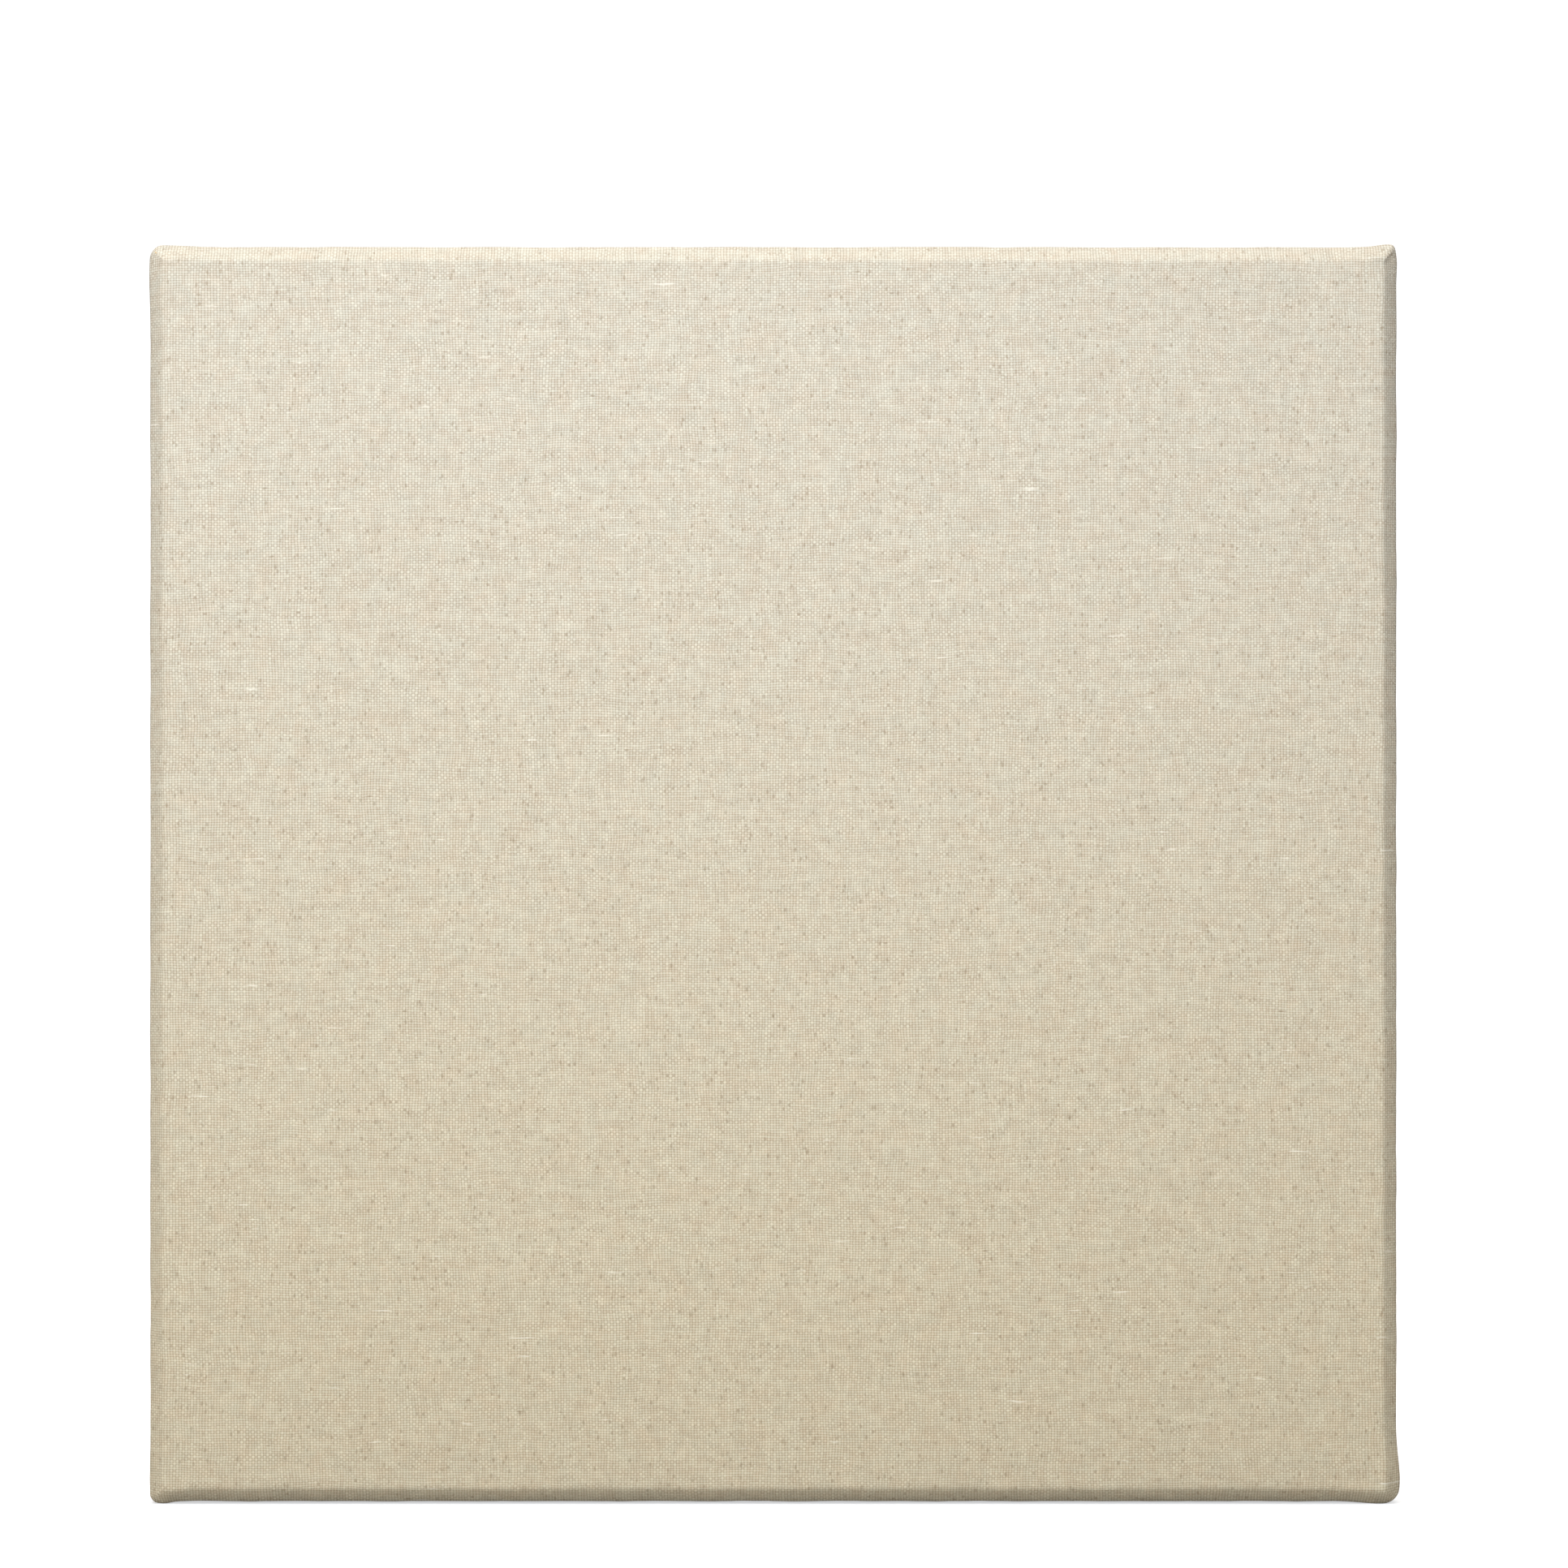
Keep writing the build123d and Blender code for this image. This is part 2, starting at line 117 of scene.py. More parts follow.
class Shader:
    """A new material's nodes, written as formulas."""

    def __init__(self, name, **surface):
        self.material = bpy.data.materials.new(name)
        self.material.use_nodes = True
        self.tree = self.material.node_tree
        self.surface = self.tree.nodes["Principled BSDF"]
        for socket, value in surface.items():
            self.surface.inputs[socket.replace("_", " ")].default_value = value

    def node(self, kind, sources=(), output=0, **settings):
        """Adds a node. sources is a dict or list of its inputs: links or plain values."""
        made = self.tree.nodes.new("ShaderNode" + kind)
        for key, value in settings.items():
            setattr(made, key, value)
        pairs = sources.items() if isinstance(sources, dict) else enumerate(sources)
        for key, source in pairs:
            if isinstance(source, bpy.types.NodeSocket):
                self.tree.links.new(source, made.inputs[key])
            elif source is not None:
                made.inputs[key].default_value = source
        return made.outputs[output]

    def math(self, operation, *values):
        return self.node("Math", values, operation=operation)

    def add(self, *values):
        total = values[0]
        for value in values[1:]:
            total = self.math("ADD", total, value)
        return total

    def times(self, *values):
        total = values[0]
        for value in values[1:]:
            total = self.math("MULTIPLY", total, value)
        return total

    def between(self, value, low, high, to_low=0.0, to_high=1.0):
        """value taken smoothly from low..high to to_low..to_high, and held there outside."""
        return self.node(
            "MapRange", [value, low, high, to_low, to_high], interpolation_type="SMOOTHSTEP"
        )

    def mix(self, share, first, second, blend="MIX"):
        made = self.tree.nodes.new("ShaderNodeMix")
        made.data_type = "RGBA"
        made.blend_type = blend
        for socket, source in zip((0, 6, 7), (share, first, second)):
            if isinstance(source, bpy.types.NodeSocket):
                self.tree.links.new(source, made.inputs[socket])
            else:
                made.inputs[socket].default_value = source
        return made.outputs[2]

    def multiply(self, colour, level):
        """A colour made lighter or darker by a level."""
        return self.mix(1.0, colour, self.node("CombineColor", [level] * 3), "MULTIPLY")

    def split(self, vector):
        """The three parts of a vector or colour."""
        return self.node("SeparateXYZ", [vector]).node.outputs

    def place(self, scale=(1, 1, 1), turn=(0, 0, 0), shift=(0, 0, 0)):
        """The object's own coordinates, scaled for a texture."""
        return self.node("Mapping", [self.node("TexCoord", output=3), shift, turn, scale])

    def noise(self, vector, scale=1.0, detail=2.0, roughness=0.5):
        inputs = {"Vector": vector, "Scale": scale, "Detail": detail, "Roughness": roughness}
        return self.node("TexNoise", inputs)

    def bump(self, height, distance, strength=1.0):
        inputs = {"Height": height, "Distance": distance, "Strength": strength}
        return self.node("Bump", inputs)

    def drive(self, **sources):
        """Links formulas to the surface's sockets."""
        for socket, source in sources.items():
            self.tree.links.new(source, self.surface.inputs[socket.replace("_", " ")])
        return self.material


# ---------------------------------------------------------------- camera, light and floor


def make_camera():
    data = bpy.data.cameras.new("camera")
    data.sensor_width = SENSOR
    data.lens = SENSOR * VIEW_DISTANCE / VIEW_WIDTH
    camera = bpy.data.objects.new("camera", data)
    camera.location = (VIEW_ASIDE, cad_low.y - VIEW_DISTANCE, VIEW_HEIGHT)
    camera.rotation_euler = (radians(90), 0, 0)
    bpy.context.scene.collection.objects.link(camera)
    bpy.context.scene.camera = camera


def make_light(kind, name, energy, place, target, colour, **settings):
    data = bpy.data.lights.new(name, kind)
    data.energy = energy
    data.color = colour
    for key, value in settings.items():
        setattr(data, key, value)
    light = bpy.data.objects.new(name, data)
    light.location = place
    light.rotation_euler = (Vector(target) - Vector(place)).to_track_quat("-Z", "Y").to_euler()
    bpy.context.scene.collection.objects.link(light)


def light_studio():
    """A softbox above and to the left of the face, a soft overhead light and a fill behind."""
    cool = (0.87, 0.93, 1.0)
    warm = (1.0, 0.95, 0.88)
    pale = (1.0, 0.985, 0.96)
    middle = (0, 0, 0.17)
    make_light("AREA", "softbox", 7.75, (-0.11, -0.73, 0.58), middle, cool, size=0.4)
    make_light("AREA", "back_fill", 5.0, (0.55, 0.95, 0.70), middle, warm, size=0.8)
    make_light("SUN", "overhead", 2.1, (0, 0, 2), (0, 0, 0), pale, angle=radians(40))


def make_world():
    """White where the camera looks at it directly; for everything else a soft grey room that is
    darker on the right."""
    world = bpy.data.worlds.new("studio")
    world.use_nodes = True
    tree = world.node_tree
    room = tree.nodes["Background"]
    room.inputs["Color"].default_value = (1.0, 0.96, 0.88, 1.0)
    toward = tree.nodes.new("ShaderNodeTexCoord")
    parts = tree.nodes.new("ShaderNodeSeparateXYZ")
    side = tree.nodes.new("ShaderNodeMapRange")
    side.inputs["From Min"].default_value = -1.0
    side.inputs["To Min"].default_value = 0.55
    side.inputs["To Max"].default_value = 0.02
    tree.links.new(toward.outputs["Generated"], parts.inputs[0])
    tree.links.new(parts.outputs["X"], side.inputs["Value"])
    tree.links.new(side.outputs[0], room.inputs["Strength"])
    white = tree.nodes.new("ShaderNodeBackground")
    white.inputs["Color"].default_value = (1.0, 1.0, 1.0, 1.0)
    white.inputs["Strength"].default_value = 1.1
    seen = tree.nodes.new("ShaderNodeLightPath")
    either = tree.nodes.new("ShaderNodeMixShader")
    tree.links.new(seen.outputs["Is Camera Ray"], either.inputs[0])
    tree.links.new(room.outputs[0], either.inputs[1])
    tree.links.new(white.outputs[0], either.inputs[2])
    tree.links.new(either.outputs[0], tree.nodes["World Output"].inputs[0])
    bpy.context.scene.world = world
    bpy.context.scene.view_settings.view_transform = "Standard"


def make_floor():
    """Mid-grey paper that looks white to the camera, so that it throws less light back up at the
    object than white paper would."""
    shader = Shader("floor_paint", Roughness=0.9)
    shader.surface.inputs["Emission Color"].default_value = (0.97, 0.98, 1.0, 1.0)
    cloud = shader.noise(shader.place(), scale=3.0)
    tint = shader.mix(cloud, (0.46, 0.46, 0.46, 1.0), (0.48, 0.48, 0.48, 1.0))
    seen = shader.node("LightPath").node.outputs["Is Camera Ray"]
    shader.drive(Base_Color=tint, Emission_Strength=shader.times(seen, 0.64))
    half = 3.0
    corners = [(-half, -half), (half, -half), (half, half), (-half, half)]
    corners = [(x, y, FLOOR_LEVEL) for x, y in corners]
    mesh = bpy.data.meshes.new("floor")
    mesh.from_pydata(corners, [], [(0, 1, 2, 3)])
    mesh.materials.append(shader.material)
    floor = bpy.data.objects.new("floor", mesh)
    bpy.context.scene.collection.objects.link(floor)


# ---------------------------------------------------------------- linen: shape

canvas_low, canvas_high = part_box("canvas")
HALF_WIDTH = (canvas_high.x - canvas_low.x) / 2
HALF_HEIGHT = (canvas_high.z - canvas_low.z) / 2
MIDDLE = (canvas_high.z + canvas_low.z) / 2
FACE = canvas_low.y
BACK = canvas_high.y


def staple_places():
    """Middles of every side's staples as (x, z), read from the model's own meshes."""
    places = {}
    for side in SIDES:
        along = 0 if side in ("bottom", "top") else 2
        points = sorted(
            (tuple(v.co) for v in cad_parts["staples_" + side].data.vertices),
            key=lambda p: p[along],
        )
        groups = [[points[0]]]
        for point in points[1:]:
            if point[along] - groups[-1][-1][along] > 6 * MM:
                groups.append([])
            groups[-1].append(point)
        places[side] = [
            tuple((min(p[k] for p in group) + max(p[k] for p in group)) / 2 for k in (0, 2))
            for group in groups
        ]
    return places


STAPLES = staple_places()
SCREWS = [tuple((a + b) / 2 for a, b in zip(*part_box("screw_" + s))) for s in ("left", "right")]


def profile():
    """Rows of the cloth from its face round to the cut edge, as
    (inset from the outside edge, depth, direction it faces, distance along the cloth).
    The direction is 0 for the painting face, 90 degrees for the side and 180 for the back."""
    start = FACET + FACET_EASE * tan(radians(22.5))
    rows = [(RIM_START, FACE, 0.0), ((RIM_START + start) / 2, FACE, 0.0)]
    for step in range(5):
        turn = radians(45) * step / 4
        rows.append((start - FACET_EASE * sin(turn), FACE + FACET_EASE * (1 - cos(turn)), turn))
    rows.append((FACET / 2, FACE + FACET / 2, radians(45)))
    for step in range(5):
        turn = radians(45) * (1 + step / 4)
        rows.append((FACET_EASE * (1 - sin(turn)), FACE + start - FACET_EASE * cos(turn), turn))
    side_start, side_end = FACE + start, BACK - BACK_ROLL
    for step in range(1, 8):
        rows.append((0.0, side_start + (side_end - side_start) * step / 8, radians(90)))
    for step in range(6):
        turn = radians(90) * step / 5
        inset, depth = BACK_ROLL * (1 - cos(turn)), side_end + BACK_ROLL * sin(turn)
        rows.append((inset, depth, radians(90) + turn))
    for step in range(1, 14):
        rows.append((BACK_ROLL + (FLAP - BACK_ROLL) * step / 13, BACK, radians(180)))
    run = 0.0
    measured = []
    for number, (inset, depth, turn) in enumerate(rows):
        if number:
            before = rows[number - 1]
            run += ((inset - before[0]) ** 2 + (depth - before[1]) ** 2) ** 0.5
        measured.append((inset, depth, turn, run))
    return measured


PROFILE = profile()
FLAT_EXTRA = PROFILE[-1][3] - RIM_START  # how far the flat sheet runs past the outside edge
FLAT = (2 * (HALF_WIDTH + FLAT_EXTRA), 2 * (HALF_HEIGHT + FLAT_EXTRA))


def stations():
    """Places of the columns along a side, from -1 to 1, closer together at the corners."""
    weights = []
    for number in range(COLUMNS):
        from_end = min(number, COLUMNS - 1 - number)
        weights.append(0.04 + 0.96 * (1 - bell(from_end, 10)))
    places = [0.0]
    for weight in weights:
        places.append(places[-1] + weight)
    return [2 * p / places[-1] - 1 for p in places]


STATIONS = stations()


def side_frame(side):
    """(direction along the side, direction out of it, half length, distance out) in X and Z."""
    return {
        "bottom": ((1, 0), (0, -1), HALF_WIDTH, HALF_HEIGHT),
        "right": ((0, 1), (1, 0), HALF_HEIGHT, HALF_WIDTH),
        "top": ((-1, 0), (0, 1), HALF_WIDTH, HALF_HEIGHT),
        "left": ((0, -1), (-1, 0), HALF_HEIGHT, HALF_WIDTH),
    }[side]


def round_corner(to_corner, radius):
    """Where a point that is to_corner from a sharp corner goes on the rounded one:
    (distance back from the corner, distance in from the side, tilt of its outward direction)."""
    if radius < 0.01 * MM:
        return to_corner, 0.0, 0.0
    run = to_corner - (1 - pi / 4) * radius * smooth(0, 5 * radius, to_corner)
    if run >= pi / 4 * radius:
        return radius + run - pi / 4 * radius, 0.0, 0.0
    tilt = pi / 4 - run / radius
    return radius * (1 - sin(tilt)), radius * (1 - cos(tilt)), tilt


def swelling(corner_side, place):
    """How far the folded corner at that side's end stands proud, place mm round from it."""
    total = 0.0
    for middle, rise, before, after in EARS[corner_side]:
        total += rise * bell(place - middle, before if place < middle else after)
    return total * MM


def looseness(side, corner, place, inset, x, z):
    """How far the flap on the back stands off the wood, corner mm from the nearest corner fold:
    slack between the staples, puckers, and the layers folded under the bottom and top sides."""
    to_staple = min(((x - a) ** 2 + (z - b) ** 2) ** 0.5 for a, b in STAPLES[side])
    to_screw = min(((x - a) ** 2 + (z - b) ** 2) ** 0.5 for a, y, b in SCREWS)
    slack = smooth(5 * MM, 19 * MM, to_staple) * smooth(22 * MM, 34 * MM, to_screw)
    past_edge = smooth(0, 4 * MM, inset)
    rise = 0.42 + 0.25 * noise.noise(Vector((x, z, 5)) * 60)
    out = rise * slack * smooth(4 * MM, FLAP, inset)
    out += 0.16 * noise.noise(Vector((place * 260, 0, 9))) * slack * past_edge
    if side in ("bottom", "top"):
        fold = smooth(0.02, 0.35, corner) * (1 - smooth(3, 17, corner))
        out += 0.5 * fold * (0.25 + 0.75 * slack) * past_edge
    return out * MM


def relief(side, previous, place, half, inset, turn, x, z):
    """How far the cloth stands out from its plain shape at one point: swollen corners and a
    slight waver on the sides, a faint wave on the face and a loose flap on the back."""
    before = (half - place) / MM
    after = (half + place) / MM
    swell = swelling(side, -before) + swelling(previous, after)
    waver = 0.14 * noise.noise(Vector((x, z, 0)) * 90)
    waver += 0.05 * noise.noise(Vector((z, x, 3)) * 310)
    out = sin(turn) * (swell + waver * MM)
    if turn < radians(60):
        out += FACE_WAVE * noise.noise(Vector((x, 7, z)) * 25) * cos(turn)
    if turn > radians(90):
        out += looseness(side, min(before, after), place, inset, x, z) * -cos(turn)
    return out


def cloth_row(side, row, thickness):
    """One row's points along one side, each with its place on the flat sheet."""
    (ax, az), (nx, nz), half_length, half_out = side_frame(side)
    previous = SIDES[SIDES.index(side) - 1]
    inset, depth, turn, run = row
    points = []
    for station in STATIONS:
        half = half_length - inset
        place = station * half
        ends = ((-1, previous), (1, side))
        sign, corner_side = ends[station > 0]
        radius = max(CORNER_RADII[corner_side] * MM - inset, 0)
        back, drop, tilt = round_corner(half - abs(place), radius)
        along = sign * (half - back)
        out = half_out - inset - drop
        x, z = along * ax + out * nx, along * az + out * nz
        lift = relief(side, previous, place, half, inset, turn, x, MIDDLE + z) - thickness
        if turn > radians(179):
            scallop = smooth(10 * MM, FLAP, inset)
            ragged = 0.45 * noise.noise(Vector((x, z, 21)) * 120)
            ragged += 0.25 * noise.noise(Vector((x, z, 2)) * 600)
            out += scallop * ragged * MM * smooth(0, 3 * MM, half - abs(place))
            x, z = along * ax + out * nx, along * az + out * nz
        normal_along, normal_out = sign * sin(tilt) * sin(turn), cos(tilt) * sin(turn)
        x += lift * (normal_along * ax + normal_out * nx)
        z += lift * (normal_along * az + normal_out * nz)
        y = depth - lift * cos(turn)
        flat_out = half_out - RIM_START + run
        flat = (place * ax + flat_out * nx, place * az + flat_out * nz)
        points.append(((x, y, MIDDLE + z), flat))
    return points


def shut_row(sides):
    """Joins four sides' points to one closed loop; each corner point is shared."""
    points, flats = [], []
    for side in SIDES:
        points += [point for point, flat in sides[side][:-1]]
        flats.append([flat for point, flat in sides[side]])
    return points, flats


class Sheet:
    """Gathers points and faces, each face corner with its place on the flat cloth."""

    def __init__(self):
        self.points, self.faces, self.flats = [], [], []

    def loop(self, row, thickness):
        points, flats = shut_row({s: cloth_row(s, row, thickness) for s in SIDES})
        start = len(self.points)
        self.points += points
        return start, flats

    def face(self, corners, flats, flip):
        order = range(len(corners))
        if flip:
            order = reversed(order)
        order = list(order)
        self.faces.append([corners[k] for k in order])
        self.flats.append([flats[k] for k in order])

    def band(self, first, second, flip):
        """Quads between two loops."""
        total = 4 * COLUMNS
        for side in range(4):
            for column in range(COLUMNS):
                here = side * COLUMNS + column
                there = (here + 1) % total
                corners = [first[0] + here, first[0] + there, second[0] + there, second[0] + here]
                inner, outer = first[1][side], second[1][side]
                flats = [inner[column], inner[column + 1], outer[column + 1], outer[column]]
                self.face(corners, flats, flip)

    def field(self, loop, thickness, flip):
        """The coarse flat middle, and the strip of triangles that joins it to the first loop."""
        coarse = STATIONS[::COLUMNS_PER_CELL]
        count = len(coarse)
        start = len(self.points)
        half_x, half_z = HALF_WIDTH - FIELD_START, HALF_HEIGHT - FIELD_START
        for row in coarse:
            for column in coarse:
                x, z = column * half_x, row * half_z
                wave = FACE_WAVE * noise.noise(Vector((x, 7, MIDDLE + z)) * 25)
                self.points.append((x, FACE - wave + thickness, MIDDLE + z))
        flat = [(x * half_x, z * half_z) for z in coarse for x in coarse]

        def at(row, column):
            return row * count + column

        for row in range(count - 1):
            for column in range(count - 1):
                spots = [at(row, column), at(row, column + 1)]
                spots += [at(row + 1, column + 1), at(row + 1, column)]
                self.face([start + s for s in spots], [flat[s] for s in spots], flip)
        last = count - 1
        edges = [
            [at(0, k) for k in range(count)],
            [at(k, last) for k in range(count)],
            [at(last, last - k) for k in range(count)],
            [at(last - k, 0) for k in range(count)],
        ]
        for side, edge in enumerate(edges):
            for cell in range(last):
                self.cell_strip(loop, side, cell, start, edge, flat, flip)

    def cell_strip(self, loop, side, cell, start, edge, flat, flip):
        """Fans from one coarse edge out to the fine columns that it faces."""
        total = 4 * COLUMNS
        first = cell * COLUMNS_PER_CELL
        fine = [first + k for k in range(COLUMNS_PER_CELL + 1)]
        near, far = edge[cell], edge[cell + 1]
        middle = COLUMNS_PER_CELL // 2

        def outer(k):
            return loop[0] + (side * COLUMNS + fine[k]) % total, loop[1][side][fine[k]]

        inner = {"near": (start + near, flat[near]), "far": (start + far, flat[far])}
        triangles = [(inner["near"], outer(k), outer(k + 1)) for k in range(middle)]
        triangles.append((inner["near"], outer(middle), inner["far"]))
        triangles += [
            (inner["far"], outer(k), outer(k + 1)) for k in range(middle, COLUMNS_PER_CELL)
        ]
        for triangle in triangles:
            self.face([c for c, f in triangle], [f for c, f in triangle], not flip)

    def mesh(self, name):
        mesh = bpy.data.meshes.new(name)
        mesh.from_pydata(self.points, [], self.faces)
        cloth = mesh.uv_layers.new(name="Cloth")  # metres on the flat sheet
        baked = mesh.uv_layers.new(name="OFBake")  # the same sheet, filling one square
        span = 1.02 * max(FLAT)
        spots = [flat for face in self.flats for flat in face]
        cloth.data.foreach_set("uv", [value for spot in spots for value in spot])
        baked.data.foreach_set("uv", [0.5 + value / span for spot in spots for value in spot])
        mesh.shade_smooth()
        mesh.set_sharp_from_angle(angle=radians(55))
        return mesh


def make_linen():
    """The wrapped cloth as one closed sheet."""
    sheet = Sheet()
    outer = [sheet.loop(row, 0.0) for row in PROFILE]
    for first, second in zip(outer, outer[1:]):
        sheet.band(first, second, True)
    sheet.field(outer[0], 0.0, False)
    inner_rows = PROFILE[::3] + ([PROFILE[-1]] if (len(PROFILE) - 1) % 3 else [])
    inner = [sheet.loop(row, THICKNESS) for row in inner_rows]
    for first, second in zip(inner, inner[1:]):
        sheet.band(first, second, False)
    sheet.field(inner[0], THICKNESS, True)
    sheet.band(outer[-1], inner[-1], True)
    mesh = sheet.mesh("linen_sheet")
    mesh.materials.append(linen_material())
    linen = bpy.data.objects.new("linen_sheet", mesh)
    bpy.context.scene.collection.objects.link(linen)
    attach(linen, "frame")
    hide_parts("canvas")
    return linen


# ---------------------------------------------------------------- linen: material


# Kinds of fleck: how many to a metre up the cloth and across it, their size as a share of that
# spacing, their strength and a shift of the pattern.
FLECKS = (
    (190.0, 360.0, 0.055, 0.46, 0.0),
    (360.0, 150.0, 0.055, 0.48, 4.0),
    (430.0, 700.0, 0.140, 0.36, 9.0),
)


def linen_material():
    """Plain weave, drawn in metres on the flat cloth so that it follows every fold."""
    s = Shader("linen_weave", Roughness=0.72)
    s.surface.inputs["Specular IOR Level"].default_value = 0.32
    s.surface.inputs["Sheen Weight"].default_value = 0.08
    s.surface.inputs["Sheen Roughness"].default_value = 0.5
    flat = s.node("UVMap", uv_map="Cloth")
    u, v = s.split(flat)[:2]

    # threads wander a little and crowd in places
    drift = s.split(s.node("TexNoise", {"Vector": flat, "Scale": 70.0, "Detail": 2.0}, output=1))
    u_bent = s.add(u, s.times(s.math("SUBTRACT", drift[0], 0.5), WARP_WANDER))
    v_bent = s.add(v, s.times(s.math("SUBTRACT", drift[1], 0.5), WEFT_WANDER))

    warp = s.math("DIVIDE", u_bent, WARP_PITCH)
    weft = s.math("DIVIDE", v_bent, WEFT_PITCH)
    warp_number, weft_number = s.math("FLOOR", warp), s.math("FLOOR", weft)
    across_warp = s.math("COSINE", s.times(s.math("SUBTRACT", s.math("FRACT", warp), 0.5), pi))
    across_weft = s.math("COSINE", s.times(s.math("SUBTRACT", s.math("FRACT", weft), 0.5), pi))
    odd = s.math("FLOORED_MODULO", s.add(warp_number, weft_number), 2.0)
    over = s.math("SUBTRACT", 1.0, s.times(odd, 2.0))  # 1 where the warp is on top, else -1

    def thread_tone(number, run, change, seed):
        """Each thread's own thickness and tone, changing slowly along its length."""
        spot = s.node("CombineXYZ", [s.times(number, 0.73), s.times(run, change), seed])
        return s.node("TexNoise", {"Vector": spot, "Scale": 1.0, "Detail": 3.0, "Roughness": 0.6})

    warp_tone = thread_tone(warp_number, v, 330.0, 1.5)
    weft_tone = thread_tone(weft_number, u, 170.0, 8.5)
    warp_round = s.math("POWER", across_warp, s.between(warp_tone, 0.25, 0.75, 0.75, 0.35))
    weft_round = s.math("POWER", across_weft, s.between(weft_tone, 0.25, 0.75, 1.0, 0.5))
    warp_height = s.times(warp_round, s.add(1 - CRIMP, s.times(across_weft, over, CRIMP)))
    weft_height = s.times(weft_round, s.add(1 - CRIMP, s.times(across_warp, over, -CRIMP)))
    height = s.math("MAXIMUM", warp_height, weft_height)
    warp_on_top = s.math("GREATER_THAN", warp_height, weft_height)
    weft_on_top = s.math("SUBTRACT", 1.0, warp_on_top)
    tone = s.add(s.times(warp_tone, warp_on_top), s.times(weft_tone, weft_on_top))

    # painted shade: the hollows between the threads are drawn darker than their crowns, standing
    # in for the shade that falls between them
    crown = linear(203, 194, 178)
    gap_shade = linear(163, 150, 130)
    colour = s.mix(s.between(height, 0.18, 0.86), gap_shade, crown)
    # painted light: cells where the warp lies on top are drawn lighter, as the light from above
    # catches those crowns; each thread's own tone is added on top of that
    lit = s.add(0.965, s.times(warp_on_top, 0.06))
    shade = s.times(lit, s.between(tone, 0.22, 0.78, 0.88, 1.09))
    colour = s.multiply(colour, shade)

    # warm and cool yarns in small clouds, a yellower and darker lower half that is painted shade,
    # and paler and darker patches
    cloud = s.add(s.times(s.noise(flat, 150.0, 4.0, 0.7), 0.45), s.times(tone, 0.55))
    cloud = s.between(cloud, 0.34, 0.62)
    tint = s.mix(cloud, (1.035, 0.985, 0.945, 1.0), (0.985, 1.008, 1.01, 1.0))
    colour = s.mix(1.0, colour, tint, "MULTIPLY")
    # painted shade: the lower half is drawn yellower and darker, standing in for the light
    # falling off warmer towards the bottom
    painted_warm_shade = s.between(v, -0.16, 0.16)
    colour = s.mix(painted_warm_shade, s.mix(1.0, colour, (1.0, 0.955, 0.84, 1.0), "MULTIPLY"), colour)
    patch = s.between(s.noise(flat, 420.0, 2.0), 0.3, 0.7, 0.965, 1.035)
    colour = s.multiply(colour, patch)

    # flecks of bark along single threads
    for number, (upward, across, size, amount, seed) in enumerate(FLECKS):
        spot = s.node("Mapping", [flat, (seed, seed, 0), (0, 0, 0), (across, upward, 1)])
        cell = s.node("TexVoronoi", {"Vector": spot, "Scale": 1.0, "Randomness": 1.0})
        chosen = s.between(s.split(cell.node.outputs["Color"])[number], 0.45, 1.0)
        dark = s.times(s.between(cell, size, size * 2.2, 1.0, 0.0), chosen, amount)
        colour = s.mix(dark, colour, linear(126, 104, 76))

    # a few pale, thick slubs
    streaks = s.noise(s.node("Mapping", [flat, (3, 1, 0), (0, 0, 0), (90, 900, 1)]))
    slub = s.between(streaks, 0.70, 0.78, 0.0, 0.5)
    colour = s.mix(slub, colour, linear(242, 235, 220))
    relief_height = s.add(height, s.times(tone, 0.25), s.times(slub, 0.3))
    rough = s.between(height, 0.2, 1.0, 0.86, 0.62)
    bump = s.bump(relief_height, 0.00010, 0.7)
    return s.drive(Base_Color=colour, Roughness=rough, Normal=bump)


# ---------------------------------------------------------------- linen: frayed cut edge


def make_fringe():
    """Loose thread ends along the cut edge on the back."""
    points, faces = [], []
    thick, sides = 0.17 * MM, 4
    lies = BACK - THICKNESS / 2
    for side in SIDES:
        (ax, az), (nx, nz), half_length, half_out = side_frame(side)
        pitch = WARP_PITCH if side in ("bottom", "top") else WEFT_PITCH
        half = half_length - FLAP
        count = int(2 * (half - 2 * MM) / pitch)
        for number in range(count):
            place = (number - count / 2 + 0.5) * pitch
            chance = noise.noise(Vector((place * 900, half_out * 100, SIDES.index(side))))
            length = (0.55 + 1.1 * chance) * MM
            if length < 0.25 * MM:
                continue
            lean = noise.noise(Vector((place * 700, 5, SIDES.index(side)))) * 0.8
            lift = noise.noise(Vector((place * 400, 9, SIDES.index(side)))) * 0.25 * MM
            start = len(points)
            for step, (share, width) in enumerate(((-1.4, 1.0), (0.35, 0.95), (1.0, 0.45))):
                run = share * length if share > 0 else share * MM
                middle_along = place + lean * max(run, 0) * (0.6 + 0.4 * step)
                out = half_out - FLAP - run
                for corner in range(sides):
                    turn = tau * corner / sides
                    along = middle_along + thick * width * cos(turn)
                    y = lies + (lift if step == 2 else 0) + thick * width * sin(turn)
                    points.append((along * ax + out * nx, y, MIDDLE + along * az + out * nz))
            for step in range(2):
                for corner in range(sides):
                    a = start + step * sides + corner
                    b = start + step * sides + (corner + 1) % sides
                    faces.append((a, b, b + sides, a + sides))
            faces.append(tuple(start + k for k in reversed(range(sides))))
            faces.append(tuple(start + 2 * sides + k for k in range(sides)))
    mesh = bpy.data.meshes.new("linen_fringe")
    mesh.from_pydata(points, [], faces)
    mesh.shade_smooth()
    mesh.materials.append(yarn_material())
    fringe = bpy.data.objects.new("linen_fringe", mesh)
    bpy.context.scene.collection.objects.link(fringe)
    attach(fringe, "frame")
    return fringe


